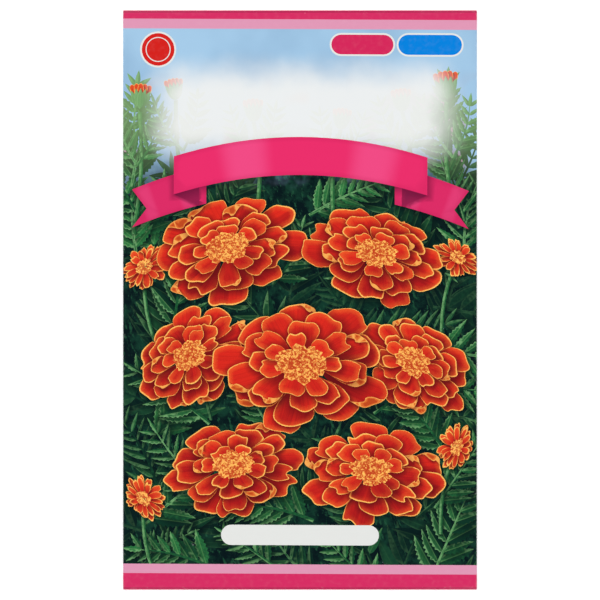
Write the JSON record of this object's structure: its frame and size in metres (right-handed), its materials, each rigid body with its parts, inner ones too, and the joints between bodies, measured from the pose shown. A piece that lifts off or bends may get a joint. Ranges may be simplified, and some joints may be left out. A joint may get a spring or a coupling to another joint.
{
  "type": "seed packet",
  "caption": "Closed flat seed packet of folded coated paper with a lapped back, a glued flap at each end and loose seeds inside.",
  "frame": {"origin": "under the middle of the packet, in the plane of the table it lies on", "axes": "+X across the packet to the right of the print, +Y up the print to its top edge, +Z out of the printed front"},
  "size_m": [0.0978, 0.16, 0.0025],
  "materials": {
    "coated_paper": "gloss coated, printed",
    "dried_glue": "satin",
    "seed_husk": "matte"
  },
  "bodies": {
    "root": {"envelope": "coated_paper", "seam_glue": "dried_glue", "top_flap_glue": "dried_glue", "bottom_flap_glue": "dried_glue", "seed_01": "seed_husk", "seed_02": "seed_husk", "seed_03": "seed_husk", "seed_04": "seed_husk", "seed_05": "seed_husk", "seed_06": "seed_husk", "seed_07": "seed_husk", "seed_08": "seed_husk", "seed_09": "seed_husk", "seed_10": "seed_husk", "seed_11": "seed_husk", "seed_12": "seed_husk", "seed_13": "seed_husk", "seed_14": "seed_husk", "seed_15": "seed_husk", "seed_16": "seed_husk", "seed_17": "seed_husk", "seed_18": "seed_husk", "seed_19": "seed_husk", "seed_20": "seed_husk", "seed_21": "seed_husk", "seed_22": "seed_husk", "seed_23": "seed_husk", "seed_24": "seed_husk", "seed_25": "seed_husk", "seed_26": "seed_husk", "seed_27": "seed_husk", "seed_28": "seed_husk", "seed_29": "seed_husk", "seed_30": "seed_husk", "seed_31": "seed_husk", "seed_32": "seed_husk", "seed_33": "seed_husk", "seed_34": "seed_husk", "seed_35": "seed_husk", "seed_36": "seed_husk", "seed_37": "seed_husk", "seed_38": "seed_husk", "seed_39": "seed_husk", "seed_40": "seed_husk"}
  },
  "joints": []
}
